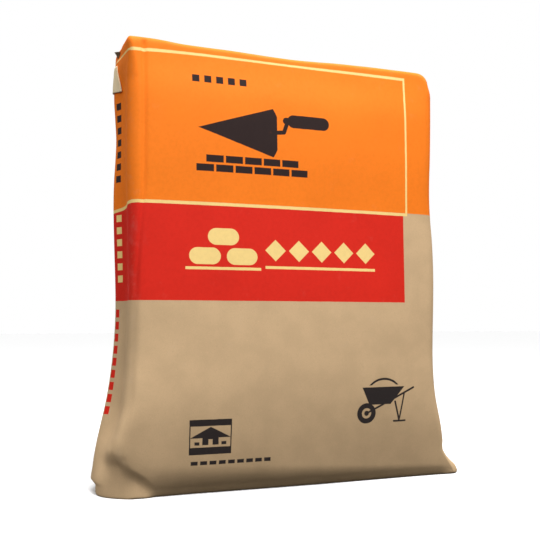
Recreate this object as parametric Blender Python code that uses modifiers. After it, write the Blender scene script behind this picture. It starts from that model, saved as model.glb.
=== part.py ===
"""A full paper cement sack, standing on its bottom end.

The sack is a pasted valve sack of several plies of kraft paper: a flat tube whose two ends are folded
into blocks. Metres, +Z up, front face towards -Y, origin on the floor below the middle of the box
around the sack.
"""

import math

import bmesh
import bpy
from mathutils import Vector

# Driving dimensions of the filled body
HEIGHT = 0.550  # floor to the highest point of the top end
BODY_LEFT = -0.2205  # x of the left side ridge at mid height
BODY_RIGHT = 0.2060  # x of the right side ridge at mid height
BODY_DEPTH = 0.118  # between the front and back panels along the side edges
FRONT_BELLY = 0.0200  # how far the filled front panel swells past that
BACK_BELLY = 0.0080  # and the back panel
BELLY_SQUARENESS = 0.42  # the lower, the flatter the swollen panel is between its edges
BELLY_LOW, BELLY_HIGH = 0.12, 0.40  # over this stretch the swell gives way
BELLY_UPPER_SHARE = 0.55  # to this share of it
BELLY_FADE = 0.45  # and from this height it fades to nothing at the top
UNDERCUT = 0.0195  # how far the front panel turns in again at the floor
UNDERCUT_HEIGHT = 0.100  # below this height
UNDERCUT_ROUNDING = 2.3
MIDDLE_Y = (FRONT_BELLY - BACK_BELLY) / 2  # sets the box around both bellies over the origin
RIDGE_HEIGHT = 0.0075  # the fold down the middle of each side stands out past its two flanks
RIDGE_REACH = 0.24  # and gives way to them over this share of the half depth
EDGE_RISE = 0.0025  # the upright edges stand out again past the flanks
VALVE_LEAN = 0.0025  # the left side leans out over this stretch below the valve
VALVE_LEAN_LOW, VALVE_LEAN_HIGH = 0.45, 0.52
SIDE_SWELL = 0.004  # the right side just below mid height
SIDE_SWELL_CENTRE, SIDE_SWELL_REACH = 0.25, 0.10

# Spread of the bottom
FLARE_LEFT = 0.0349  # how far the sides spread out at the floor
FLARE_LEFT_REACH = 0.116  # and over what height
FLANK_SHARE = 0.50  # the share of that flare that the flanks take part in
FLARE_RIGHT = 0.022
FLARE_RIGHT_REACH = 0.095
EAR = 0.0378  # the folded bottom corners on the right, past the flare
EAR_REACH = 0.020
EAR_SHARE_AT_RIDGE = 0.4  # between the two ears the side reaches out less
FOOT_HEIGHT = 0.05  # below this the side panels lose their ridges
LEFT_FOOT_INSET = 0.034  # the left foot is round in plan: its corners lie this much further in
LEFT_FOOT_ROUNDING = 3.2

# Paper
PATCH_THICKNESS = 0.0008  # two plies and their paste
SLEEVE_THICKNESS = 0.0014  # a flattened two-ply tube
GAP = 0.0003  # between pieces that touch
TOP_PATCH_LENGTH = 0.330
BOTTOM_PATCH_LENGTH = 0.350
PATCH_WIDTH = 0.090
PATCH_CORNER = 0.004
PATCH_SHIFT = 0.001  # the patches lie a little to the right of the middle

# Block ends
SACK_BOTTOM = PATCH_THICKNESS + GAP
SACK_TOP = HEIGHT - PATCH_THICKNESS - GAP
ROUND_CORNER_DROP = 0.014  # the filled top corner on the right is round
ROUND_CORNER_INSET = 0.007
ROUND_CORNER_ACROSS = 0.94  # it starts at this share of the width
ROUND_CORNER_LOW = 0.525  # and at this height

# Valve, in the left side just under the top end
MOUTH_DEPTH_BELOW_TOP = 0.0135
MOUTH_REACH = 0.016  # how far the sleeve is held inside the sack
MOUTH_CLEARANCE = 0.0003
SLEEVE_MOUTH_WIDTH = 0.018
SLEEVE_FREE_WIDTH = 0.062
SLEEVE_LENGTH = 0.039  # hanging part, below the mouth
SLEEVE_BEND = 0.0022  # radius of the bend at the mouth
BEND_STEPS = 4

# Grid of the cage: shares of the width, shares of the half depth and heights
WIDTH_STATIONS = (0.045, 0.13, 0.25, 0.38, 0.5, 0.62, 0.75, 0.87, 0.955)
DEPTH_STATIONS = (-0.80, -0.42, 0.0, 0.42, 0.80)
HEIGHT_STATIONS = (0.022, 0.050, 0.090, 0.140, 0.200, 0.270, 0.340, 0.410, 0.470, 0.510, 0.533)

# Colours, linear
KRAFT = (0.59, 0.42, 0.25)
SLEEVE_KRAFT = (0.47, 0.35, 0.18)
ORANGE = (0.89, 0.27, 0.03)
PAPER_ROUGHNESS = 0.8


def smooth_step(low, high, value):
    """0 below low, 1 above high, and a smooth ramp between them."""
    share = min(1.0, max(0.0, (value - low) / (high - low)))
    return share * share * (3 - 2 * share)


def hump(distance, reach):
    """1 at no distance, fading to nothing well past the reach."""
    return math.exp(-((distance / reach) ** 2))


def left_flare(z):
    """How far the left side has spread out at height z."""
    return FLARE_LEFT * hump(z, FLARE_LEFT_REACH)


def left_ridge(z):
    """x of the left side ridge at height z."""
    lean = VALVE_LEAN * smooth_step(VALVE_LEAN_LOW, VALVE_LEAN_HIGH, z)
    return BODY_LEFT - left_flare(z) - lean


def right_ridge(z):
    """x of the right side ridge at height z, without the ears."""
    swell = SIDE_SWELL * hump(z - SIDE_SWELL_CENTRE, SIDE_SWELL_REACH)
    return BODY_RIGHT + FLARE_RIGHT * hump(z, FLARE_RIGHT_REACH) + swell


def belly(full, across, z):
    """How far a panel with this full swell stands out, across 0 to 1 of the width, at height z."""
    over_width = (4 * across * (1 - across)) ** BELLY_SQUARENESS
    settled = 1 - (1 - BELLY_UPPER_SHARE) * smooth_step(BELLY_LOW, BELLY_HIGH, z)
    swell = over_width * settled * (1 - smooth_step(BELLY_FADE, HEIGHT, z))
    turned_in = over_width * max(0.0, 1 - z / UNDERCUT_HEIGHT) ** UNDERCUT_ROUNDING
    return full * (swell - turned_in * UNDERCUT / FRONT_BELLY)


def cage_point(across, depth, z):
    """The cage vertex at a share of the width, a share of the half depth and a height."""
    # Each side panel has a ridge between two flanks, and loses it towards the floor: there the left
    # side is a round foot, and the right corners are ears.
    off_ridge = 1 - hump(depth, RIDGE_REACH)
    to_edge = depth * depth
    ridged = smooth_step(0.0, FOOT_HEIGHT, z)
    flank = (RIDGE_HEIGHT - EDGE_RISE * to_edge) * off_ridge * ridged
    round_foot = LEFT_FOOT_INSET * abs(depth) ** LEFT_FOOT_ROUNDING * (1 - ridged)
    left = left_ridge(z) + flank + (1 - FLANK_SHARE) * left_flare(z) * off_ridge * ridged + round_foot
    ear_share = EAR_SHARE_AT_RIDGE + (1 - EAR_SHARE_AT_RIDGE) * to_edge
    right = right_ridge(z) - flank + EAR * hump(z, EAR_REACH) * ear_share
    rounding = smooth_step(ROUND_CORNER_ACROSS, 1.0, across) * smooth_step(ROUND_CORNER_LOW, SACK_TOP, z)
    x = left + (right - left) * across - ROUND_CORNER_INSET * rounding
    full = FRONT_BELLY if depth < 0 else BACK_BELLY
    y = MIDDLE_Y + depth * (BODY_DEPTH / 2 + belly(full, across, z))
    return Vector((x, y, z - ROUND_CORNER_DROP * rounding))


def paint(obj, name, colour):
    """Give the object a paper material of this colour."""
    material = bpy.data.materials.new(name)
    material.use_nodes = True
    material.diffuse_color = (*colour, 1)
    shader = material.node_tree.nodes["Principled BSDF"]
    shader.inputs["Base Color"].default_value = (*colour, 1)
    shader.inputs["Roughness"].default_value = PAPER_ROUGHNESS
    shader.inputs["Metallic"].default_value = 0.0
    obj.data.materials.append(material)


def add_object(name, mesh_builder, collection):
    """Turn a bmesh into a named object of the collection."""
    mesh = bpy.data.meshes.new(name)
    mesh_builder.normal_update()
    mesh_builder.to_mesh(mesh)
    mesh_builder.free()
    obj = bpy.data.objects.new(name, mesh)
    collection.objects.link(obj)
    return obj


def box(size, centre=(0, 0, 0)):
    """A box as a bmesh."""
    builder = bmesh.new()
    bmesh.ops.create_cube(builder, size=1.0)
    bmesh.ops.scale(builder, vec=size, verts=builder.verts)
    bmesh.ops.translate(builder, vec=centre, verts=builder.verts)
    return builder


def slice_box(builder, axis, stations):
    """Add a loop of edges across the box at each station along the axis."""
    normal = Vector((0, 0, 0))
    normal[axis] = 1
    for station in stations:
        everything = builder.verts[:] + builder.edges[:] + builder.faces[:]
        cut_at = normal * station
        bmesh.ops.bisect_plane(builder, geom=everything, plane_co=cut_at, plane_no=normal, dist=1e-6)


def subdivide(obj, levels):
    """Round the object with Subdivision Surface."""
    modifier = obj.modifiers.new("Subdivision", "SUBSURF")
    modifier.levels = levels
    modifier.render_levels = levels


def make_mouth_cutter(collection):
    """The thin slit that the valve sleeve comes out of."""
    slit = SLEEVE_THICKNESS + 2 * MOUTH_CLEARANCE
    size = (2 * MOUTH_REACH, SLEEVE_MOUTH_WIDTH + 2 * MOUTH_CLEARANCE, slit)
    mouth_z = HEIGHT - MOUTH_DEPTH_BELOW_TOP
    cutter = add_object("mouth_cutter", box(size, (left_ridge(mouth_z), MIDDLE_Y, mouth_z)), collection)
    cutter.display_type = "WIRE"
    cutter.hide_render = True
    return cutter


def make_paper_sack(collection, cutter):
    """The folded and pasted paper tube with its two block ends, full."""
    builder = box((1, 2, SACK_TOP - SACK_BOTTOM), (0.5, 0, (SACK_TOP + SACK_BOTTOM) / 2))
    slice_box(builder, 0, WIDTH_STATIONS)
    slice_box(builder, 1, DEPTH_STATIONS)
    slice_box(builder, 2, HEIGHT_STATIONS)
    for vert in builder.verts:
        vert.co = cage_point(*vert.co)
    sack = add_object("paper_sack", builder, collection)
    subdivide(sack, 1)
    cut = sack.modifiers.new("Valve mouth", "BOOLEAN")
    cut.operation = "DIFFERENCE"
    cut.solver = "EXACT"
    cut.object = cutter
    sack.data.shade_smooth()
    paint(sack, "kraft_paper", KRAFT)
    return sack


def make_patch(name, length, low_z, colour, collection):
    """A cover patch pasted over the folds of a block end."""
    centre_x = (BODY_LEFT + BODY_RIGHT) / 2 + PATCH_SHIFT
    builder = box((length, PATCH_WIDTH, PATCH_THICKNESS))
    upright = [edge for edge in builder.edges if edge.verts[0].co.z != edge.verts[1].co.z]
    bmesh.ops.bevel(builder, geom=upright, offset=PATCH_CORNER, segments=3, profile=0.5, affect="EDGES")
    patch = add_object(name, builder, collection)
    patch.location = (centre_x, MIDDLE_Y, low_z + PATCH_THICKNESS / 2)
    paint(patch, name, colour)
    return patch


def sleeve_path(distance):
    """The sleeve's centre line: (x, z, tangent angle) at a distance from its inner end."""
    mouth_z = HEIGHT - MOUTH_DEPTH_BELOW_TOP
    outer_x = left_ridge(mouth_z) - GAP - SLEEVE_THICKNESS / 2
    bend_x = outer_x + SLEEVE_BEND
    straight = MOUTH_REACH - SLEEVE_BEND
    arc = SLEEVE_BEND * math.pi / 2
    if distance <= straight:
        return bend_x + straight - distance, mouth_z, math.pi
    if distance <= straight + arc:
        turn = (distance - straight) / SLEEVE_BEND
        x = bend_x - SLEEVE_BEND * math.sin(turn)
        z = mouth_z - SLEEVE_BEND * (1 - math.cos(turn))
        return x, z, math.pi + turn
    return outer_x, mouth_z - SLEEVE_BEND - (distance - straight - arc), 1.5 * math.pi


def make_valve_sleeve(collection):
    """The flattened paper tube of the valve, bent down over the left side panel."""
    straight = MOUTH_REACH - SLEEVE_BEND
    arc = SLEEVE_BEND * math.pi / 2
    hanging = SLEEVE_LENGTH - SLEEVE_BEND
    total = straight + arc + hanging
    builder = box((total, 1, SLEEVE_THICKNESS), (total / 2, 0, 0))
    slice_box(builder, 0, [straight + arc * step / BEND_STEPS for step in range(BEND_STEPS + 1)])
    slice_box(builder, 1, (0.0,))
    mouth_width = SLEEVE_MOUTH_WIDTH - 2 * MOUTH_CLEARANCE
    for vert in builder.verts:
        distance, across, offset = vert.co
        x, z, angle = sleeve_path(distance)
        # The hanging part widens downwards along straight edges.
        hanging_share = max(0.0, (distance - straight - arc) / hanging)
        width = mouth_width + (SLEEVE_FREE_WIDTH - mouth_width) * hanging_share
        # Positive offsets lie outside the bend, and the turned sign of y keeps the faces outward.
        y = MIDDLE_Y - across * width
        vert.co = Vector((x + offset * math.sin(angle), y, z - offset * math.cos(angle)))
    sleeve = add_object("valve_sleeve", builder, collection)
    paint(sleeve, "sleeve_kraft", SLEEVE_KRAFT)
    return sleeve


def main():
    for obj in list(bpy.data.objects):
        bpy.data.objects.remove(obj)
    parts = bpy.data.collections.new("cement_sack")
    cutters = bpy.data.collections.new("cutters")
    for collection in (parts, cutters):
        bpy.context.scene.collection.children.link(collection)

    make_paper_sack(parts, make_mouth_cutter(cutters))
    make_patch("top_end_patch", TOP_PATCH_LENGTH, SACK_TOP + GAP, ORANGE, parts)
    make_patch("bottom_end_patch", BOTTOM_PATCH_LENGTH, 0.0, KRAFT, parts)
    make_valve_sleeve(parts)


main()
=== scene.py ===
"""A full paper cement sack, standing on its bottom end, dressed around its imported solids.

The sack is a pasted valve sack of kraft paper. Its skin, end flaps, cover patches, back seam and valve
sleeve are modelled here, and painted with procedural paper and print.
"""

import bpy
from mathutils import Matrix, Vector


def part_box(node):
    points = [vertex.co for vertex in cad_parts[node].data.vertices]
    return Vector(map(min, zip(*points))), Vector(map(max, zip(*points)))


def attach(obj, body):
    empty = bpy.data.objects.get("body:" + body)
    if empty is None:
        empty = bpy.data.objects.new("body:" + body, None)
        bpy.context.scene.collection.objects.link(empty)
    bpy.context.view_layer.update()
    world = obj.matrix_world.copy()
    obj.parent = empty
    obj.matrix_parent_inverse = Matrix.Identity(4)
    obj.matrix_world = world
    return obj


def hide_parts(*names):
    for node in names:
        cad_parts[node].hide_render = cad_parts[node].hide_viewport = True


bl_info = {
    "name": "Cement sack",
    "version": (1, 0, 0),
    "blender": (4, 5, 0),
    "location": "View3D > Sidebar > Cement sack",
    "description": "Models and paints a full paper cement sack around its packed solids",
    "category": "Add Mesh",
}

import math

import bmesh
import bpy
import numpy as np
from bpy.props import FloatProperty, FloatVectorProperty, IntProperty, PointerProperty
from bpy.types import Operator, Panel, PropertyGroup
from mathutils import Vector, noise

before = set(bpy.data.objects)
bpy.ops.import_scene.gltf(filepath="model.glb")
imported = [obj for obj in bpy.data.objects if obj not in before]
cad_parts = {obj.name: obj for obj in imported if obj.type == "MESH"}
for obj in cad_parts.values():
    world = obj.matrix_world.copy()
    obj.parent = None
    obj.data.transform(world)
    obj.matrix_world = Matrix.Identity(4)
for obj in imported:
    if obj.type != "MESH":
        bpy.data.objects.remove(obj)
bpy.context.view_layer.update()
SACK_LOW, SACK_HIGH = (Vector(corner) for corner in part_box("paper_sack"))
SLEEVE_LOW, SLEEVE_HIGH = (Vector(corner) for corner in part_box("valve_sleeve"))
TOP_PATCH_LOW, TOP_PATCH_HIGH = (Vector(corner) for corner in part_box("top_end_patch"))
BOTTOM_PATCH_LOW, BOTTOM_PATCH_HIGH = (Vector(corner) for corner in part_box("bottom_end_patch"))

PAPER_HEIGHT = SACK_HIGH.z - SACK_LOW.z
FOOT_REACH = 0.0369  # how far the left foot reaches past the front panel's left edge
FACE_LEFT = SACK_LOW.x + FOOT_REACH
SKIN_BOTTOM = BOTTOM_PATCH_HIGH.z
MIDDLE_Y = (SLEEVE_LOW.y + SLEEVE_HIGH.y) / 2  # of the sack along its side edges
RIDGE_WEAR = 0.004  # half width of the rubbed line along each side ridge
FACE_SPREAD = 0.0105  # the filled sack is this much wider than the flat panel at mid height


class SackForm(PropertyGroup):
    """Sizes of the filled sack."""

    face_width: FloatProperty(
        name="Face width", description="Width of the front panel", default=0.4163, unit="LENGTH"
    )
    depth: FloatProperty(
        name="Depth", description="From front to back along the edges", default=0.118, unit="LENGTH"
    )
    front_belly: FloatProperty(
        name="Front belly", description="Swell of the front panel", default=0.0212, unit="LENGTH"
    )
    back_belly: FloatProperty(
        name="Back belly", description="Swell of the back panel", default=0.0080, unit="LENGTH"
    )
    undercut: FloatProperty(
        name="Undercut",
        description="How far the bottom edge turns in under the belly",
        default=0.0140,
        unit="LENGTH",
    )
    undercut_height: FloatProperty(
        name="Undercut height", description="The belly turns in below this", default=0.150, unit="LENGTH"
    )
    dimple: FloatProperty(
        name="Dimples",
        description="Height of the broad unevenness of the panels",
        default=0.0006,
        unit="LENGTH",
    )
    grid_across: IntProperty(name="Grid across", description="Faces across the front", default=148)
    grid_deep: IntProperty(name="Grid deep", description="Faces from front to back", default=50)
    grid_high: IntProperty(name="Grid high", description="Faces from bottom to top", default=186)


class SackPrint(PropertyGroup):
    """Colours of the paper and its print."""

    kraft: FloatVectorProperty(
        name="Kraft", description="Bare kraft paper", default=(0.62, 0.428, 0.243), subtype="COLOR"
    )
    orange: FloatVectorProperty(
        name="Orange", description="Upper print field", default=(0.93, 0.208, 0.011), subtype="COLOR"
    )
    red: FloatVectorProperty(
        name="Red", description="Print band at mid height", default=(0.69, 0.020, 0.009), subtype="COLOR"
    )
    keyline: FloatVectorProperty(
        name="Keyline", description="Pale lines and pale marks", default=(0.93, 0.67, 0.25), subtype="COLOR"
    )
    ink: FloatVectorProperty(
        name="Black ink",
        description="Small marks and pictograms",
        default=(0.010, 0.007, 0.008),
        subtype="COLOR",
    )
    sleeve: FloatVectorProperty(
        name="Sleeve", description="Paper of the valve sleeve", default=(0.87, 0.71, 0.46), subtype="COLOR"
    )


class Studio(PropertyGroup):
    """Camera and light."""

    lens: FloatProperty(name="Lens", description="Focal length in millimetres", default=53.33)
    shift: FloatProperty(name="Shift", description="Upward shift of the level camera", default=0.0963)
    camera: FloatVectorProperty(
        name="Camera",
        description="Place of the camera",
        default=(-0.400, -1.0005, 0.2113),
        subtype="TRANSLATION",
    )
    turn: FloatProperty(
        name="Turn",
        description="Turn of the camera to the right",
        default=math.radians(21.1),
        subtype="ANGLE",
    )
    key: FloatProperty(name="Key", description="Power of the main light", default=60.0, unit="POWER")
    fill: FloatProperty(name="Fill", description="Power of the side light", default=16.0, unit="POWER")
    overhead: FloatProperty(name="Overhead", description="Strength of the light straight above", default=1.2)
    sky: FloatProperty(name="Sky", description="Strength of the light from overhead", default=0.9)
    backdrop: FloatProperty(name="Backdrop", description="Brightness of the background", default=1.0)


# Stations of the outline: height over the bottom end, and reach to the right of the front panel's left
# edge at mid height. The left ridge is the tube's fold line in the middle of the left side.
LEFT_RIDGE = (
    (0.000, -0.0332), (0.011, -0.0336), (0.017, -0.0330), (0.024, -0.0322), (0.039, -0.0304),
    (0.063, -0.0262), (0.088, -0.0206), (0.113, -0.0150), (0.139, -0.0104),
    (0.164, -0.0071), (0.189, -0.0049), (0.214, -0.0036), (0.260, -0.0034), (0.314, -0.0048),
    (0.350, -0.0055), (0.389, -0.0046), (0.414, -0.0031), (0.440, -0.0022), (0.465, -0.0036),
    (0.490, -0.0050), (0.520, -0.0038), (0.535, -0.0022), (0.549, 0.0002),
)
RIDGE_MORE = 0.0012  # the left ridge stands out by this much more
LEFT_EDGE = (
    (0.000, 0.001), (0.016, 0.0005), (0.028, -0.0022), (0.040, -0.0075), (0.050, -0.0115),
    (0.060, -0.0130), (0.080, -0.0115), (0.113, -0.0068), (0.150, -0.0030), (0.200, 0.0000),
    (0.480, 0.0000), (0.510, 0.0012), (0.530, 0.0022), (0.538, 0.0018), (0.545, 0.0000),
    (0.549, -0.0012),
)
BACK_EDGE_INSET = 0.0105  # the back panel's left edge reaches out less than the ridge by this much
# The right edge and the right ridge are measured past the face width.
RIGHT_EDGE = (
    (0.000, 0.0530), (0.0057, 0.0530), (0.0104, 0.0502), (0.016, 0.0430), (0.0218, 0.0365),
    (0.028, 0.0311), (0.0334, 0.0275), (0.039, 0.0257), (0.047, 0.0246), (0.061, 0.0228),
    (0.075, 0.0205), (0.089, 0.0177), (0.103, 0.0150), (0.131, 0.0116), (0.158, 0.0104),
    (0.186, 0.0107), (0.240, 0.0121), (0.268, 0.0123), (0.296, 0.0117), (0.323, 0.0104),
    (0.351, 0.0078), (0.378, 0.0063), (0.405, 0.0064), (0.433, 0.0075), (0.460, 0.0082),
    (0.549, 0.0088),
)
RIGHT_RIDGE = (
    (0.000, 0.026), (0.020, 0.028), (0.050, 0.025), (0.100, 0.0175), (0.170, 0.0150),
    (0.300, 0.0160), (0.480, 0.0125), (0.549, 0.0080),
)
# The top edge waves: how high it stands at stations across the front panel.
TOP_WAVE = (
    (0.000, 0.0046), (0.0125, 0.0050), (0.030, 0.0050), (0.0466, 0.0043), (0.0615, 0.0030),
    (0.089, 0.0021), (0.128, 0.0016), (0.154, 0.0008), (0.181, 0.0003), (0.209, 0.0003),
    (0.237, 0.0015), (0.265, 0.0027), (0.294, 0.0032), (0.354, 0.0038), (0.416, 0.0039),
)
TOP_WAVE_START = 0.535  # height at which the wave sets in
RIM, RIM_HEIGHT = 0.0018, 0.010  # the rim of the bottom end stands lower than the end itself
CORNER_SAG, SAG_REACH = 0.0027, 0.045  # the paper is drawn down at the valve corner
SAG_START, SAG_END = (0.480, 0.530), (0.540, 0.549)  # heights
# Share of the belly at each height
BELLY = (
    (0.000, 0.96), (0.060, 0.98), (0.120, 1.00), (0.190, 0.95), (0.354, 0.60), (0.440, 0.52),
    (0.490, 0.38), (0.525, 0.13), (0.549, 0.00),
)
BELLY_SQUARENESS = 0.42  # the lower, the flatter the swollen panel is between its edges
LOW_LEFT_SQUARENESS, LOW_RIGHT_SQUARENESS = 0.17, 0.28  # the belly is fuller over the two feet
LOW_LEFT_FADE, LOW_RIGHT_FADE = (0.08, 0.20), (0.06, 0.18)  # heights
LOW_LEFT_SPAN, LOW_RIGHT_SPAN = (0.05, 0.50), (0.50, 0.95)  # shares of the width

# The belly hangs over the left foot along this line of the front panel. Below it the foot's front stands
# out past the panel's edges, and above it the panel already falls back towards its left edge.
LEDGE = (
    (-0.0500, 0.0520), (-0.0050, 0.0350), (0.0045, 0.0275), (0.0130, 0.0200), (0.0195, 0.0100),
    (0.0225, 0.0000),
)
LEDGE_SOFTNESS = (-0.008, 0.008)  # distances over the ledge between which the foot gives way to the panel
FOOT_FRONT = 0.0015
SLOPE_SHARE = 0.22  # of the belly
SLOPE_SOFTNESS = (-0.004, 0.110)  # distances over the ledge
SLOPE_END = (0.010, 0.085)  # distances from the panel's left edge

# The front turns in under the belly, less over the left foot and more at the right one.
UNDERCUT_ROUNDING = 2.0
LEFT_UNDERCUT, RIGHT_UNDERCUT = 0.50, 1.5
LEFT_UNDERCUT_FADE = (0.01, 0.08)  # distances from the panel's left edge
RIGHT_UNDERCUT_START = (0.45, 0.95)  # shares of the width
# Close to the floor, below these heights at the left and the right, it turns in still more.
TUCK_HEIGHTS = (0.044, 0.014)
TUCK_SHARE, TUCK_ROUNDING = 0.30, 2.2  # depth of the tuck as a share of its height
TUCK_END = (0.384, 0.401)  # distances from the panel's left edge

# Radii of the fold edges and of the outline's corners
EDGE_RADIUS = {
    "left": 0.0140,
    "left_foot": 0.0050,
    "left_top": 0.0070,
    "right": 0.0190,
    "right_foot": 0.0125,
    "top": 0.0045,
    "bottom": 0.0022,
}
CORNER_RADIUS = {"top_left": 0.0045, "top_right": 0.0280, "bottom_left": 0.0025, "bottom_right": 0.0050}
FOOT_RADIUS_HEIGHTS = (0.03, 0.12)  # from the radius at the foot to the one over it
TOP_RADIUS_HEIGHTS = (0.500, 0.540)
RADIUS_BLEND = 0.008  # two edges' radii blend over this distance
TINY = 1e-9  # keeps a division by a length from failing
RIDGE_SHARPNESS = 0.24  # share of the half depth that the side ridge takes
GUTTER = 0.0030  # the side sinks in between its edges and its ridge
GUTTER_END = (0.45, 0.53)  # heights
FLAT_END = (0.500, 0.535)  # above these heights the left side is flat from its edges to its ridge
FOOT_FADE = (0.015, 0.110)  # below these heights the feet are rounded in plan, without a ridge
FOOT_ROUNDING, FOOT_ROUNDING_REACH = 3.0, 0.36  # reaches here are shares of the half depth
EAR_THICKNESS = 0.20  # of the right foot's two ears, as a share of the half depth
TURNED_REACH, TURNED_ROUNDING = 0.80, 2.6  # the lowest part of the left foot is turned outward
TURNED_FADE = (0.036, 0.058)  # heights
BACK_FOOT_EASE, BACK_FOOT_FADE = 0.010, 0.120  # below this height the foot's back reaches out less
PLEAT_END = (0.010, 0.0155)  # below these heights the foot stands back behind its front corner
PLEAT_STEP = 0.0090
PLEAT_SPAN = (-0.75, 0.60)  # shares of the half depth, from front to back

# Creases: panel, route (across, height), depth, and half width above and below the route. The left panel
# is measured from the front.
CREASES = (
    ("front", ((0.0190, 0.543), (0.0180, 0.374), (0.0062, 0.235)), 0.0022, 0.0030, 0.0030),
    (
        "front",
        ((-0.0090, 0.048), (-0.0060, 0.075), (0.0010, 0.119), (0.0067, 0.235), (0.0100, 0.265)),
        0.0013, 0.0045, 0.0045,
    ),
    ("left", ((0.0440, 0.5430), (0.0760, 0.5430)), 0.0035, 0.0035, 0.0030),
)
CREASE_FADE = (-0.001, 0.030)  # a crease fades in over this length from the end of its route

# The left side stands back over its foot, below this line of the side panel (depth from its front, height).
STEP_LINE = ((-0.0500, 0.0410), (0.0120, 0.0430), (0.1200, 0.0560))
STEP_DEPTH = 0.0032
STEP_SOFTNESS = (-0.010, 0.014)  # distances over the line
STEP_END = (0.010, 0.056)  # depths from the side's front
STEP_REACH = 0.05  # distance from the panel's left edge at which it ends on the front
# The ear of the right foot is folded back outside this line of the front panel.
EAR_FOLD = ((0.4330, 0.0480), (0.4350, 0.0330), (0.4405, 0.0230), (0.4560, 0.0030))
EAR_SLOPE, EAR_REACH = 0.75, 0.012  # how steeply, and up to which distance past the line
EAR_FADE = (0.034, 0.048)  # heights
EAR_FRONT = (0.15, 0.95)  # shares of the half depth, towards the front
# The panels' broad unevenness: noise scales per metre, sideways and up, and the share of each
DIMPLE_WAVES = ((11, 7, 1.0), (27, 16, 0.5))
DIMPLE_START = 0.012  # height


def smooth_step(low, high, value):
    """0 below low, 1 above high, and a smooth ramp between them."""
    share = np.clip((value - low) / (high - low), 0.0, 1.0)
    return share * share * (3 - 2 * share)


def curve_through(knots, at):
    """A smooth curve through (station, value) knots, read at an array of stations."""
    stations, values = (np.array(column) for column in zip(*knots))
    slopes = np.gradient(values, stations)
    at = np.clip(at, stations[0], stations[-1])
    n = np.clip(np.searchsorted(stations, at, side="right") - 1, 0, len(stations) - 2)
    step = stations[n + 1] - stations[n]
    share = (at - stations[n]) / step
    square, cube = share**2, share**3
    return (
        (2 * cube - 3 * square + 1) * values[n]
        + (cube - 2 * square + share) * step * slopes[n]
        + (3 * square - 2 * cube) * values[n + 1]
        + (cube - square) * step * slopes[n + 1]
    )


def from_route(across, height, route):
    """Where points of a panel's plane lie by a route of straight legs.

    Gives their distance from it, their distance above its nearest leg's line, and the way left to its end.
    """
    distance = np.full_like(across, np.inf)
    above = np.zeros_like(across)
    to_end = np.zeros_like(across)
    rest = sum(math.dist(start, end) for start, end in zip(route, route[1:]))
    for start, end in zip(route, route[1:]):
        start, end = np.array(start), np.array(end)
        along = end - start
        length = np.hypot(*along)
        share = ((across - start[0]) * along[0] + (height - start[1]) * along[1]) / length**2
        share = np.clip(share, 0.0, 1.0)
        away = across - start[0] - share * along[0], height - start[1] - share * along[1]
        here = np.hypot(*away)
        upward = (away[1] * along[0] - away[0] * along[1]) / length * np.sign(along[0] or 1)
        nearer = here < distance
        above = np.where(nearer, upward, above)
        to_end = np.where(nearer, rest - share * length, to_end)
        distance = np.minimum(distance, here)
        rest -= length
    return distance, above, to_end


def rise_over(across, height, route):
    """Distance from a route, negative below it."""
    distance, above, _ = from_route(across, height, route)
    return np.where(above < 0, -distance, distance)


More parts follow.
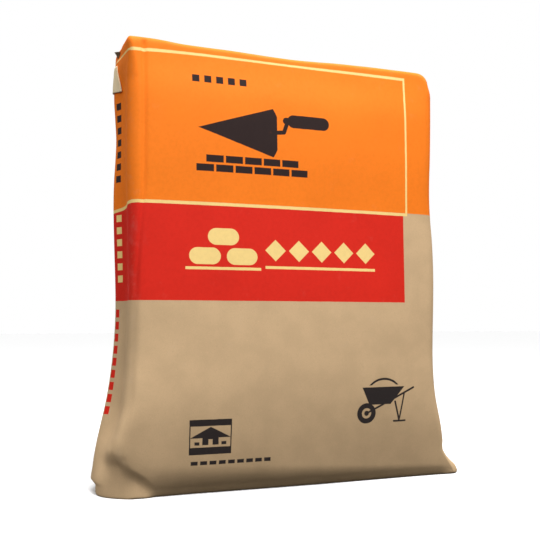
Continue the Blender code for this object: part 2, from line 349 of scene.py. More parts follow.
class SackShape:
    """Places points of a flat-sided block of paper on the filled sack.

    The block's coordinates are metres of paper: across 0 to the face width, depth 0 at the middle and
    height 0 at the bottom end. A point a little outside the block lands a little outside the sack.
    """

    def __init__(self, form):
        self.width = form.face_width
        self.half_depth = form.depth / 2
        self.height = PAPER_HEIGHT
        self.form = form

    def folded(self, points):
        """Round the block's edges and corners.

        Gives the points, their outward directions, and their depths as they were before the two ends were
        rounded.
        """
        across, depth, height = points.T
        from_left, from_right = across, self.width - across
        from_bottom, from_top = height, self.height - height
        rise = smooth_step(*FOOT_RADIUS_HEIGHTS, height)
        upright = [
            EDGE_RADIUS[f"{side}_foot"] + (EDGE_RADIUS[side] - EDGE_RADIUS[f"{side}_foot"]) * rise
            for side in ("left", "right")
        ]
        upright[0] += (EDGE_RADIUS["left_top"] - upright[0]) * smooth_step(*TOP_RADIUS_HEIGHTS, height)
        distances = np.stack([from_left, from_right, from_top, from_bottom])
        radii = np.stack(
            [
                *upright,
                np.full_like(across, EDGE_RADIUS["top"]),
                np.full_like(across, EDGE_RADIUS["bottom"]),
            ]
        )
        weights = np.exp(-(distances - distances.min(axis=0)) / RADIUS_BLEND)
        radius = (weights * radii).sum(axis=0) / weights.sum(axis=0)

        from_face = self.half_depth - np.abs(depth)
        from_outline = distances.min(axis=0)
        toward_outline = np.maximum(radius - from_outline, 0)
        toward_face = np.maximum(radius - from_face, 0)
        reach = np.maximum(toward_outline, toward_face)
        length = np.maximum(np.hypot(toward_outline, toward_face), TINY)
        outline_part, face_part = toward_outline / length, toward_face / length
        new_from_outline = np.where(toward_outline > 0, radius - reach * outline_part, from_outline)
        new_from_face = np.where(toward_face > 0, radius - reach * face_part, from_face)

        left_half, top_half = from_left < from_right, from_top < from_bottom
        corner = np.where(
            top_half,
            np.where(left_half, CORNER_RADIUS["top_left"], CORNER_RADIUS["top_right"]),
            np.where(left_half, CORNER_RADIUS["bottom_left"], CORNER_RADIUS["bottom_right"]),
        )
        beside = np.minimum(from_left, from_right)
        above = np.minimum(from_bottom, from_top)
        toward_side = np.maximum(corner - beside, 0)
        toward_end = np.maximum(corner - above, 0)
        in_corner = (toward_side > 0) & (toward_end > 0)
        span = np.maximum(np.hypot(toward_side, toward_end), TINY)
        arc_beside = corner - (corner - new_from_outline) * toward_side / span
        arc_above = corner - (corner - new_from_outline) * toward_end / span
        side_is_nearer = beside < above
        new_beside = np.where(in_corner, arc_beside, np.where(side_is_nearer, new_from_outline, beside))
        new_above = np.where(in_corner, arc_above, np.where(side_is_nearer, above, new_from_outline))

        placed = np.stack(
            [
                np.where(left_half, new_beside, self.width - new_beside),
                np.sign(depth) * (self.half_depth - new_from_face),
                np.where(top_half, self.height - new_above, new_above),
            ]
        )
        side_share = np.where(in_corner, toward_side / span, side_is_nearer.astype(float))
        end_share = np.where(in_corner, toward_end / span, 1.0 - side_is_nearer)
        outward = np.stack(
            [
                outline_part * side_share * np.where(left_half, -1, 1),
                face_part * np.sign(depth),
                outline_part * end_share * np.where(top_half, 1, -1),
            ]
        )
        depth_at_side = placed[1] + (depth - placed[1]) * end_share * (toward_outline > 0)
        return placed, outward, np.clip(depth_at_side, -self.half_depth, self.half_depth)

    def side_outlines(self, depth, height):
        """x of the left and right outline of the sack at a depth and a height."""
        is_back = smooth_step(0.0, self.half_depth, depth)
        inward = np.clip(1 - np.abs(depth) / self.half_depth, 0.0, 1.0)  # 0 at the edges, 1 at the ridge
        ridge = np.exp(-(((1 - inward) / RIDGE_SHARPNESS) ** 2))
        foot = 1 - (1 - np.minimum(inward / FOOT_ROUNDING_REACH, 1)) ** FOOT_ROUNDING
        turned = 1 - (1 - np.minimum(inward / TURNED_REACH, 1)) ** TURNED_ROUNDING
        ear = 1 - (1 - np.clip((inward - EAR_THICKNESS) / FOOT_ROUNDING_REACH, 0, 1)) ** FOOT_ROUNDING
        is_foot = 1 - smooth_step(*FOOT_FADE, height)
        right_share = ridge + (ear - ridge) * is_foot
        foot = foot + (turned - foot) * (1 - smooth_step(*TURNED_FADE, height))
        left_share = ridge + (foot - ridge) * is_foot
        left_share += (inward - left_share) * smooth_step(*FLAT_END, height)
        gutter = GUTTER * np.sin(np.pi * inward) ** 2 * (1 - is_foot)
        gutter = gutter * (1 - smooth_step(*GUTTER_END, height))
        left_ridge = curve_through(LEFT_RIDGE, height) - RIDGE_MORE
        left = curve_through(LEFT_EDGE, height)
        left = left + (np.maximum(left, left_ridge + BACK_EDGE_INSET) - left) * is_back
        left = left + (left_ridge - left) * left_share + gutter
        left = left + BACK_FOOT_EASE * is_back * (1 - smooth_step(0, BACK_FOOT_FADE, height))
        behind = smooth_step(*PLEAT_SPAN, depth / self.half_depth)
        left = left + PLEAT_STEP * behind * (1 - smooth_step(*PLEAT_END, height))
        right = curve_through(RIGHT_EDGE, height)
        right = right + (curve_through(RIGHT_RIDGE, height) - right) * right_share - gutter
        return FACE_LEFT + left, FACE_LEFT + self.width + right

    def face_depth(self, across, height, is_front):
        """How much deeper than along its edges the sack is here, on the front or back face."""
        share = np.clip(across / self.width, 0, 1)
        low_left = (1 - smooth_step(*LOW_LEFT_FADE, height)) * (1 - smooth_step(*LOW_LEFT_SPAN, share))
        low_right = (1 - smooth_step(*LOW_RIGHT_FADE, height)) * smooth_step(*LOW_RIGHT_SPAN, share)
        squareness = BELLY_SQUARENESS + (LOW_LEFT_SQUARENESS - BELLY_SQUARENESS) * low_left
        squareness += (LOW_RIGHT_SQUARENESS - BELLY_SQUARENESS) * low_right
        swell = np.clip(4 * share * (1 - share), 0, 1) ** squareness
        belly = np.where(is_front, self.form.front_belly, self.form.back_belly)
        undercut = self.form.undercut * belly / self.form.front_belly
        past_foot = smooth_step(*LEFT_UNDERCUT_FADE, across)
        undercut = undercut * (LEFT_UNDERCUT + (1 - LEFT_UNDERCUT) * past_foot)
        undercut = undercut * (1 + (RIGHT_UNDERCUT - 1) * smooth_step(*RIGHT_UNDERCUT_START, share))
        turned_in = undercut * np.clip(1 - height / self.form.undercut_height, 0, 1) ** UNDERCUT_ROUNDING
        tuck_height = TUCK_HEIGHTS[0] + (TUCK_HEIGHTS[1] - TUCK_HEIGHTS[0]) * share
        tuck = TUCK_SHARE * tuck_height * np.clip(1 - height / tuck_height, 0, 1) ** TUCK_ROUNDING
        turned_in += tuck * (1 - smooth_step(*TUCK_END, across))
        turned_in = turned_in * swell
        rise = rise_over(across, height, LEDGE)
        sloped = SLOPE_SHARE * (1 - smooth_step(*SLOPE_SOFTNESS, rise))
        sloped = sloped * (1 - smooth_step(*SLOPE_END, across))
        panel = belly * swell * curve_through(BELLY, height) * (1 - sloped) - turned_in
        return panel + (FOOT_FRONT - panel) * (1 - smooth_step(*LEDGE_SOFTNESS, rise))

    def creased(self, x, depth, height, outward):
        """Rise of the surface, outward, from its creases."""
        rise = np.zeros_like(x)
        for panel, route, crease_depth, above, below in CREASES:
            if panel == "left":
                across, on_panel = depth + self.half_depth, np.clip(-outward[0], 0, 1)
            else:
                across, on_panel = x - FACE_LEFT, np.clip(-outward[1], 0, 1)
            distance, upward, to_end = from_route(across, height, route)
            half_width = below + (above - below) * smooth_step(-below, above, upward)
            fading = crease_depth * smooth_step(*CREASE_FADE, to_end)
            rise -= on_panel * fading * np.exp(-((distance / half_width) ** 2))
        return rise

    def stepped_back(self, from_front, height):
        """How far the left side stands back over its foot."""
        under = 1 - smooth_step(*STEP_SOFTNESS, rise_over(from_front, height, STEP_LINE))
        return STEP_DEPTH * under * (1 - smooth_step(*STEP_END, from_front))

    def place(self, points):
        """World places of an array of block points, and how near to a fold each lies."""
        placed, outward, depth_at_side = self.folded(np.asarray(points, float))
        across, depth, height = placed
        left, right = self.side_outlines(depth_at_side, height)
        x = left + (right - left) * across / self.width
        y = depth * (1 + self.face_depth(across, height, depth < 0) / self.half_depth)
        top_share = smooth_step(TOP_WAVE_START, self.height, height)
        z = SKIN_BOTTOM + height + curve_through(TOP_WAVE, across) * top_share
        sag = smooth_step(*SAG_START, height) * (1 - smooth_step(*SAG_END, height))
        z -= CORNER_SAG * sag * np.exp(-((across / SAG_REACH) ** 2))
        z -= RIM * np.hypot(outward[0], outward[1]) * (1 - smooth_step(0, RIM_HEIGHT, height))
        creases = self.creased(x, depth, height, outward)
        in_front = smooth_step(*EAR_FRONT, -depth / self.half_depth)
        _, beyond, _ = from_route(x - FACE_LEFT, height, EAR_FOLD)
        y += EAR_SLOPE * np.clip(beyond, 0, EAR_REACH) * in_front * (1 - smooth_step(*EAR_FADE, height))
        at_left = 1 - smooth_step(0.0, STEP_REACH, across)
        x += self.stepped_back(depth + self.half_depth, height) * at_left
        rise = creases + self.dimples(x, y, z) * smooth_step(0.0, DIMPLE_START, height)
        fold = 2 * np.hypot(outward[0], outward[2]) * np.abs(outward[1])
        ridge = np.abs(outward[0]) * np.exp(-((depth / RIDGE_WEAR) ** 2))
        fold = np.clip(fold + ridge, 0, 1)
        return np.stack([x, y + MIDDLE_Y, z], axis=1) + (outward * rise).T, fold

    def dimples(self, x, y, z):
        """Broad, shallow unevenness of a panel of filled paper."""
        values = [
            sum(
                share * noise.noise(Vector((a * sideways, b * sideways, c * upward)))
                for sideways, upward, share in DIMPLE_WAVES
            )
            for a, b, c in zip(x, y, z)
        ]
        return self.form.dimple * np.array(values)


def grid_block(size, cuts):
    """A closed block of quads as a bmesh, cut into so many faces along each axis."""
    block = bmesh.new()
    bmesh.ops.create_cube(block, size=1.0)
    for axis, count in enumerate(cuts):
        # Edges along this axis still have the cube's full length of 1.
        along = [edge for edge in block.edges if abs((edge.verts[0].co - edge.verts[1].co)[axis]) > 0.5]
        bmesh.ops.subdivide_edges(block, edges=along, cuts=count - 1, use_grid_fill=True)
    bmesh.ops.scale(block, vec=size, verts=block.verts)
    return block


def crowd_to_ends(values, low, high, amount):
    """Move evenly spaced values towards both ends of their range, where the folds are."""
    share = (values - low) / (high - low)
    return low + (high - low) * (share - amount * np.sin(2 * np.pi * share) / (2 * np.pi))


def points_of(mesh):
    """The mesh's vertices as an array."""
    points = np.empty(len(mesh.vertices) * 3)
    mesh.vertices.foreach_get("co", points)
    return points.reshape(-1, 3)


def set_points(mesh, points):
    """Move the mesh's vertices to new places."""
    mesh.vertices.foreach_set("co", np.ascontiguousarray(points, dtype=np.float32).ravel())
    mesh.update()


def add_piece(name, builder):
    """Turn a bmesh into a named object of the scene."""
    mesh = bpy.data.meshes.new(name)
    builder.normal_update()
    builder.to_mesh(mesh)
    builder.free()
    mesh.shade_smooth()
    piece = bpy.data.objects.new(name, mesh)
    bpy.context.scene.collection.objects.link(piece)
    return piece


def set_point_values(mesh, name, values):
    """Store one number for each vertex as an attribute."""
    attribute = mesh.attributes.new(name, "FLOAT", "POINT")
    attribute.data.foreach_set("value", np.asarray(values, dtype=np.float32))


def vertex_of_corner(mesh):
    """The vertex under each face corner of the mesh."""
    vertices = np.empty(len(mesh.loops), dtype=np.int32)
    mesh.loops.foreach_get("vertex_index", vertices)
    return vertices


def add_paper_map(mesh, around, up):
    """Store the flat print coordinates of the mesh's face corners."""
    layer = mesh.uv_layers.new(name="paper")
    layer.data.foreach_set("uv", np.stack([around, up], axis=1).astype(np.float32).ravel())


def print_across(places, form):
    """Where on the flat front panel a place of the sack is, in metres from the panel's left edge.

    The print runs straight on the front and back, although the sack spreads towards its foot.
    """
    return (places[:, 0] - FACE_LEFT) * form.face_width / (form.face_width + FACE_SPREAD)


def lay_out_paper(mesh, block_points, places, form):
    """Give the sack its flat print coordinates: metres around the tube, and metres up.

    0 is the front panel's left edge. The left side is before it, and the right side and the back follow.
    """
    width, depth, height = form.face_width, form.depth, PAPER_HEIGHT
    vertices = vertex_of_corner(mesh)
    corners_in_face = np.empty(len(mesh.polygons), dtype=np.int32)
    mesh.polygons.foreach_get("loop_total", corners_in_face)
    face_of_corner = np.repeat(np.arange(len(mesh.polygons)), corners_in_face)
    corner_points = block_points[vertices]
    centres = np.zeros((len(mesh.polygons), 3))
    np.add.at(centres, face_of_corner, corner_points)
    centres /= corners_in_face[:, None]
    deep, high = corner_points[:, 1], corner_points[:, 2]
    across = print_across(places[vertices], form)
    middle_across, middle_deep, middle_high = centres[face_of_corner].T
    from_front = deep + depth / 2
    edge = 1e-6
    on_left, on_right = middle_across < edge, middle_across > width - edge
    on_back = middle_deep > depth / 2 - edge
    on_top, on_bottom = middle_high > height - edge, middle_high < edge
    around = np.select(
        [on_left, on_right, on_back],
        [-from_front, width + from_front, 2 * width + depth - across],
        across,
    )
    up = np.select([on_top, on_bottom], [height + from_front, -from_front], high)
    add_paper_map(mesh, around, up)


class Field:
    """A shader value or colour socket, with Python's operators adding Math nodes."""

    def __init__(self, desk, socket):
        self.desk = desk
        self.socket = socket

    def _math(self, operation, *others):
        return self.desk.math(operation, self, *others)

    def __add__(self, other):
        return self._math("ADD", other)

    def __radd__(self, other):
        return self.desk.math("ADD", other, self)

    def __sub__(self, other):
        return self._math("SUBTRACT", other)

    def __rsub__(self, other):
        return self.desk.math("SUBTRACT", other, self)

    def __mul__(self, other):
        return self._math("MULTIPLY", other)

    def __truediv__(self, other):
        return self._math("DIVIDE", other)

    def __abs__(self):
        return self._math("ABSOLUTE")

    def __mod__(self, other):
        return self._math("FLOORED_MODULO", other)

    def __pow__(self, other):
        return self._math("POWER", other)

    def least(self, other):
        """The smaller of the two."""
        return self._math("MINIMUM", other)

    def most(self, other):
        """The greater of the two."""
        return self._math("MAXIMUM", other)

    def ramp(self, low, high):
        """0 below low and 1 above high, with a smooth ramp between them."""
        return self.desk.node(
            "ShaderNodeMapRange",
            {"interpolation_type": "SMOOTHSTEP", "clamp": True},
            {"Value": self, "From Min": low, "From Max": high},
        )


# The paper's own grain: noise scales per metre, the same all ways or along x, y and z
CLOUD_SCALE, FIBRE_SCALE, FLECK_SCALE = 30.0, (1500.0, 1500.0, 520.0), (520.0, 520.0, 900.0)
GRAIN_SCALE, CRUMPLE_SCALE, COCKLE_SCALE = (900.0, 900.0, 500.0), 75.0, (38.0, 38.0, 16.0)
BLOTCH_SCALE, MOTTLE_SCALE, DUST_SCALE, WANDER_SCALE = 14.0, 210.0, 48.0, 120.0
# Its relief: the share of each kind of unevenness, and the whole of it in metres
GRAIN_SHARE, CRUMPLE_SHARE, COCKLE_SHARE = 0.10, 0.55, 1.3
BUMP_STRENGTH, BUMP_DISTANCE = 0.30, 0.0009
# Its tones, as shares of its colour, how strongly they show, and the span of their noise that brings them
CLOUD_TONES, CLOUD_SPAN = (1.03, 0.94), (0.30, 0.70)
FIBRE_TONE, FIBRE_SHARE, FIBRE_SPAN = 0.78, 0.45, (0.50, 0.72)
FLECK_TONE, FLECK_SHARE, FLECK_SPAN = 1.22, 0.35, (0.60, 0.76)
BARE_ROUGHNESS, PRINTED_ROUGHNESS, PATCH_ROUGHNESS = 0.84, 0.80, 0.72
ROUGHNESS_SPREAD = 0.16
PAPER_SPECULAR = 0.15
DUST_COLOUR = (0.62, 0.59, 0.55)
DUST_START, DUST_END = 0.60, 0.82  # of the dust noise
DUST_SHARE, BARE_DUST_SHARE = 0.04, 0.10  # how much the dust hides of print and of bare paper
DUST_IN_FOLDS = 0.12
# Rubbed folds: how the fold and the mottle add up, the span of the sum that bares the paper, how strongly
# it shows there, and its tone
FOLD_RUB, MOTTLE_RUB, RUB_SPAN, RUBBED_SHARE, RUBBED_TONE = 0.62, 0.75, (0.98, 1.12), 0.05, 1.1
# Ink: its greatest strength and what the blotches take of it, on the sack and on the top patch
PRINT_INK, PATCH_INK = (1.03, 0.05), (1.02, 0.06)
SPECKED = 0.05  # what the specks take of it
BLOTCH_SPAN, SPECK_SPAN = (0.25, 0.75), (0.35, 0.75)
MARK_COVER, MARK_DUST = 0.99, 0.05  # how much a black mark hides, and how much of that the dust takes
INK_SMOOTHS = 0.10  # ink makes the paper this much less rough
PATCH_BARE, PATCH_FRAY = (0.45, 0.62), 0.5  # where the top patch's print ends, between its middle and edge


class PaintDesk:
    """Builds the nodes of one material, or of the world."""

    def __init__(self, owner):
        owner.use_nodes = True
        self.owner = owner
        self.tree = owner.node_tree

    def connect(self, socket, value):
        """Link a field to a socket, or set a plain value on it."""
        if isinstance(value, Field):
            self.tree.links.new(value.socket, socket)
        elif hasattr(value, "__len__") and len(value) == 3 and len(socket.default_value) == 4:
            socket.default_value = (*value, 1.0)
        else:
            socket.default_value = value

    def node(self, kind, settings=None, values=None, output=0):
        """Add a node: its settings first, then the values or links of its sockets."""
        made = self.tree.nodes.new(kind)
        for name, value in (settings or {}).items():
            setattr(made, name, value)
        for name, value in (values or {}).items():
            self.connect(made.inputs[name], value)
        return Field(self, made.outputs[output])

    def fill(self, name, values):
        """Set or link the sockets of the shader that the tree came with."""
        for socket, value in values.items():
            self.connect(self.tree.nodes[name].inputs[socket], value)
        return self.owner

    def math(self, operation, *values):
        """One Math node."""
        return self.node("ShaderNodeMath", {"operation": operation}, dict(enumerate(values)))

    def mix(self, share, first, second):
        """Blend two colours."""
        # The colour sockets of a Mix node are the seventh and eighth inputs and the third output.
        return self.node("ShaderNodeMix", {"data_type": "RGBA"}, {0: share, 6: first, 7: second}, 2)

    def noise(self, vector, scale, detail=2.0, roughness=0.5):
        """A noise of one scale, or of one for each axis."""
        if isinstance(scale, tuple):
            vector = self.node("ShaderNodeVectorMath", {"operation": "MULTIPLY"}, {0: vector, 1: scale})
            scale = 1.0
        values = {"Vector": vector, "Scale": scale, "Detail": detail, "Roughness": roughness}
        return self.node("ShaderNodeTexNoise", {}, values)

    def dim(self, colour, share):
        """Scale a colour's brightness."""
        return self.node("ShaderNodeVectorMath", {"operation": "SCALE"}, {0: colour, "Scale": share})

    def part(self, vector, axis):
        """One of a vector's three numbers."""
        return self.node("ShaderNodeSeparateXYZ", {}, {"Vector": vector}, axis)

    def place(self):
        """Object coordinates."""
        return self.node("ShaderNodeTexCoord", output="Object")

    def paper(self):
        """The flat print coordinates as (around, up)."""
        flat = self.node("ShaderNodeUVMap", {"uv_map": "paper"})
        return self.part(flat, "X"), self.part(flat, "Y")

    def value_of(self, attribute):
        """A number that the mesh stores for its vertices."""
        return self.node("ShaderNodeAttribute", {"attribute_name": attribute}, output="Fac")

    def mottle(self, place):
        """Fine, sharp unevenness."""
        return self.noise(place, MOTTLE_SCALE, 3.0, 0.6)

    def finish_paper(self, place, colour, roughness):
        """Connect the shader: colour, roughness, and the paper's relief of fibre, crumple and cockle."""
        grain = self.noise(place, GRAIN_SCALE, 3.0, 0.6)
        crumple = self.noise(place, CRUMPLE_SCALE, 4.0, 0.5)
        cockle = self.noise(place, COCKLE_SCALE, 2.0, 0.45)
        height = grain * GRAIN_SHARE + crumple * CRUMPLE_SHARE + cockle * COCKLE_SHARE
        relief = {"Strength": BUMP_STRENGTH, "Distance": BUMP_DISTANCE, "Height": height}
        sockets = {
            "Base Color": colour,
            "Roughness": roughness,
            "Specular IOR Level": PAPER_SPECULAR,
            "Normal": self.node("ShaderNodeBump", {}, relief),
        }
        return self.fill("Principled BSDF", sockets)


# Places of the print, in metres of paper
INK_EDGE = 0.00035  # half width of an ink edge
PRINT_WANDER = 0.0005  # how far ink edges stray
REPEAT_START = 0.02  # the print's repeat sets in this far from the back edge of the left side
ORANGE_LOW = 0.3566
STRIP_LOW = 0.3528  # the pale strip lies between the orange and the red field
RED_LOW = 0.2365
RED_RIGHT = 0.3600
KEYLINE_WIDTH = 0.0027
SIDE_KEYLINE_WIDTH = 0.0017
KEYLINE_TOP = 0.5395
KEYLINE_RIGHT = 0.3662
STRIP_LEAN = 0.0070  # the strip runs down by so much from the side's front edge to its ridge
# Columns of dashes on the left side: the middle of the lowest, how many, and the size of one
BLACK_COLUMN = (-0.0480, 0.3880), 7, (0.0095, 0.0085)
PALE_COLUMN = (-0.0470, 0.2640), 6, (0.0085, 0.0085)
RED_COLUMN = (-0.0530, 0.1010), 9, (0.0080, 0.0100)
COLUMN_PITCH = 0.0150


class Stencil:
    """Shapes drawn on flat paper, each as 1 inside and 0 outside.

    A shape is placed by its middle and measured in metres.
    """

    def __init__(self, around, up):
        self.around = around
        self.up = up

    def moved(self, middle):
        """The same stencil with its origin at a new middle."""
        return Stencil(self.around - middle[0], self.up - middle[1])

    def ink(self, distance):
        """1 where a distance is negative, with the soft edge of ink on paper."""
        return 1 - distance.ramp(-INK_EDGE, INK_EDGE)

    def box(self, middle, size):
        """A filled box."""
        across = abs(self.around - middle[0]) - size[0] / 2
        along = abs(self.up - middle[1]) - size[1] / 2
        return self.ink(across.most(along))

    def frame(self, middle, size, line):
        """The outline of a box."""
        outer = self.box(middle, size)
        return outer - self.box(middle, (size[0] - 2 * line, size[1] - 2 * line))

    def disc(self, middle, radius):
        """A filled disc."""
        across, along = self.around - middle[0], self.up - middle[1]
        return self.ink((across * across + along * along) ** 0.5 - radius)

    def bar(self, start, end, width):
        """A round-ended bar from start to end."""
        reach = (end[0] - start[0], end[1] - start[1])
        length = math.hypot(*reach)
        way = (reach[0] / length, reach[1] / length)
        across, along = self.around - start[0], self.up - start[1]
        share = (across * way[0] + along * way[1]).most(0.0).least(length)
        across, along = across - share * way[0], along - share * way[1]
        return self.ink((across * across + along * along) ** 0.5 - width / 2)

    def wedge(self, sides):
        """The part on the near side of every line.

        A line is given by a point on it and the angle that points past it, in degrees.
        """
        past = [
            (self.around - point[0]) * math.cos(math.radians(angle))
            + (self.up - point[1]) * math.sin(math.radians(angle))
            for point, angle in sides
        ]
        return self.ink(together(*past))

    def row(self, first, pitch, count, size):
        """A row of equal boxes, from the middle of the first."""
        half_span = pitch * (count - 1) / 2
        window = self.box((first[0] + half_span, first[1]), (2 * half_span + pitch, size[1] * 2))
        one = Stencil(repeated(self.around - first[0], pitch), self.up - first[1])
        return one.box((0, 0), size) * window

    def column(self, first, pitch, count, size):
        """A column of equal boxes, from the middle of the lowest."""
        turned = Stencil(self.up, self.around)
        return turned.row(first[::-1], pitch, count, size[::-1])


def repeated(distance, pitch):
    """The distance from the nearest of a row of places, a pitch apart."""
    return (distance + pitch / 2) % pitch - pitch / 2


def together(*masks):
    """The union of masks, or the greatest of distances."""
    result = masks[0]
    for mask in masks[1:]:
        result = result.most(mask)
    return result


def trowel_mark(stencil):
    """A bricklayer's trowel seen from above, with its cranked neck."""
    blade = stencil.wedge((((-0.082, -0.008), 108), ((-0.082, -0.008), 252), ((0.018, 0), 0)))
    heel = stencil.disc((-0.034, -0.008), 0.056)
    neck = stencil.bar((0.010, -0.008), (0.027, -0.006), 0.0052)
    crank = stencil.bar((0.027, -0.006), (0.032, 0.008), 0.0052)
    handle = stencil.bar((0.040, 0.009), (0.080, 0.009), 0.0165)
    ferrule = stencil.bar((0.030, 0.009), (0.042, 0.009), 0.0085)
    return together(blade * heel, neck, crank, handle, ferrule)


def brick_courses(stencil, count):
    """Two courses of bricks in running bond."""
    brick = (0.0215, 0.0088)
    pitch = 0.0242
    return together(
        stencil.row((0, 0), pitch, count, brick),
        stencil.row((pitch / 2, 0.0115), pitch, count - 1, brick),
    )


def stacked_sacks(stencil):
    """Three full sacks in a pile."""
    high = 0.0205
    return together(
        stencil.bar((-0.032, -0.014), (-0.014, -0.014), high),
        stencil.bar((0.014, -0.014), (0.032, -0.014), high),
        stencil.bar((-0.009, 0.010), (0.009, 0.010), high),
        stencil.box((0, -0.029), (0.0936, 0.0035)),
    )


def lozenge_row(stencil, count):
    """A row of diamonds, with a line under it."""
    pitch, reach = 0.031, 0.0135
    slant = math.sqrt(0.5)
    diamonds = stencil.ink((abs(repeated(stencil.around, pitch)) + abs(stencil.up) - reach) * slant)
    middle = pitch * (count - 1) / 2
    window = stencil.box((middle, 0), (pitch * count, 3 * reach))
    return together(diamonds * window, stencil.box((middle, -0.0215), (pitch * count - 0.004, 0.0035)))


def house_badge(stencil):
    """A framed badge with a small house between two solid bars."""
    size = (0.0520, 0.0430)
    roof = stencil.wedge((((0, 0.0125), 62), ((0, 0.0125), 118), ((0, -0.001), 270)))
    walls = stencil.box((0, -0.0048), (0.0200, 0.0098)) - stencil.box((0, -0.0062), (0.0050, 0.0070))
    return together(
        stencil.frame((0, 0), size, 0.0014),
        stencil.box((0, 0.0175), (size[0], 0.0080)),
        stencil.box((0, -0.0170), (size[0], 0.0090)),
        roof,
        walls,
        stencil.box((-0.0165, -0.0078), (0.0060, 0.0040)),
        stencil.box((0.0165, -0.0078), (0.0060, 0.0040)),
    )


def wheelbarrow_mark(stencil):
    """A loaded wheelbarrow on its wheel."""
    axle = (-0.0260, -0.0220)
    tyre = stencil.disc(axle, 0.0135) - stencil.disc(axle, 0.0068)
    hub = stencil.disc(axle, 0.0034)
    tray = stencil.wedge(
        (((0, 0.0120), 90), ((-0.0330, 0.0120), 205), ((0.0300, 0.0120), 318), ((0, -0.0110), 270))
    )
    heap = stencil.disc((-0.0010, -0.0060), 0.0300) * stencil.box((-0.0010, 0.0230), (0.0700, 0.0170))
    heap_line = heap - stencil.disc((-0.0010, -0.0075), 0.0286)
    return together(
        tyre,
        hub,
        tray,
        heap_line,
        stencil.bar(axle, (0.0440, 0.0100), 0.0026),
        stencil.bar((0.0160, -0.0080), (0.0230, -0.0330), 0.0026),
        stencil.bar((0.0300, 0.0040), (0.0230, -0.0330), 0.0022),
        stencil.bar((0.0150, -0.0340), (0.0320, -0.0340), 0.0024),
    )


def printed_marks(stencil):
    """The black, the pale and the red marks of one repeat of the print."""
    columns = [
        stencil.column(first, COLUMN_PITCH, count, size)
        for first, count, size in (BLACK_COLUMN, PALE_COLUMN, RED_COLUMN)
    ]
    black = together(
        stencil.row(first=(0.0800, 0.5085), pitch=0.0148, count=5, size=(0.0088, 0.0088)),
        trowel_mark(stencil.moved((0.1640, 0.4560))),
        brick_courses(stencil.moved((0.0900, 0.3990)), 6),
        house_badge(stencil.moved((0.0950, 0.0710))),
        stencil.row(first=(0.0760, 0.0390), pitch=0.0115, count=9, size=(0.0085, 0.0048)),
        wheelbarrow_mark(stencil.moved((0.3280, 0.1130))),
        columns[0],
    )
    pale = together(
        stacked_sacks(stencil.moved((0.1120, 0.3050))),
        lozenge_row(stencil.moved((0.1780, 0.3000)), 5),
        columns[1],
    )
    return black, pale, columns[2]


def span_box(stencil, around, up):
    """A box from one place to another around the paper, and from one to another up it."""
    middle = ((around[0] + around[1]) / 2, (up[0] + up[1]) / 2)
    return stencil.box(middle, (around[1] - around[0], up[1] - up[0]))


def print_masks(desk, place, form):
    """Where each ink is printed: the orange and the red field, the pale lines, and the marks."""
    around, up = desk.paper()
    period = form.face_width + form.depth
    start = REPEAT_START - form.depth
    # The front and the left side make one repeat, and the back and the right side the other.
    around = (around - start) % period + start
    wander = desk.noise(place, WANDER_SCALE) - 0.5
    stencil = Stencil(around + wander * PRINT_WANDER, up + wander * PRINT_WANDER)
    half_depth = form.depth / 2
    lean = (1 - abs(around + half_depth) / half_depth).most(0.0) * STRIP_LEAN
    leaning = Stencil(stencil.around, stencil.up + lean)
    orange = leaning.ink(ORANGE_LOW - leaning.up)
    red = span_box(stencil, (start, RED_RIGHT), (RED_LOW, STRIP_LOW)) * leaning.ink(leaning.up - STRIP_LOW)
    middle_up = KEYLINE_TOP - KEYLINE_WIDTH / 2
    line = together(
        span_box(leaning, (start, KEYLINE_RIGHT), (STRIP_LOW, ORANGE_LOW)),
        span_box(stencil, (0, KEYLINE_RIGHT), (KEYLINE_TOP - KEYLINE_WIDTH, KEYLINE_TOP)),
        stencil.box((start / 2, middle_up), (-start, SIDE_KEYLINE_WIDTH)),
        span_box(stencil, (KEYLINE_RIGHT - KEYLINE_WIDTH, KEYLINE_RIGHT), (STRIP_LOW, KEYLINE_TOP)),
    )
    return orange, red, line, printed_marks(stencil)


def toned(colour, share):
    """A colour made darker or lighter by a share."""
    return [min(part * share, 1) for part in colour]


def kraft_colour(desk, place, colour):
    """Kraft paper: soft clouds, darker fibres and pale flecks."""
    cloud = desk.noise(place, CLOUD_SCALE, 3.0, 0.55)
    fibre = desk.noise(place, FIBRE_SCALE, 3.0, 0.6)
    fleck = desk.noise(place, FLECK_SCALE, 2.0, 0.5)
    pale, dark = (toned(colour, share) for share in CLOUD_TONES)
    paper = desk.mix(cloud.ramp(*CLOUD_SPAN), pale, dark)
    paper = desk.mix(fibre.ramp(*FIBRE_SPAN) * FIBRE_SHARE, paper, toned(colour, FIBRE_TONE))
    return desk.mix(fleck.ramp(*FLECK_SPAN) * FLECK_SHARE, paper, toned(colour, FLECK_TONE))


def ink_shade(desk, place, mottle, strongest, blotched):
    """How strongly ink took to the paper, which is uneven in broad blotches and fine specks."""
    blotch = desk.noise(place, BLOTCH_SCALE, 3.0, 0.5).ramp(*BLOTCH_SPAN)
    return strongest - blotch * blotched - mottle.ramp(*SPECK_SPAN) * SPECKED


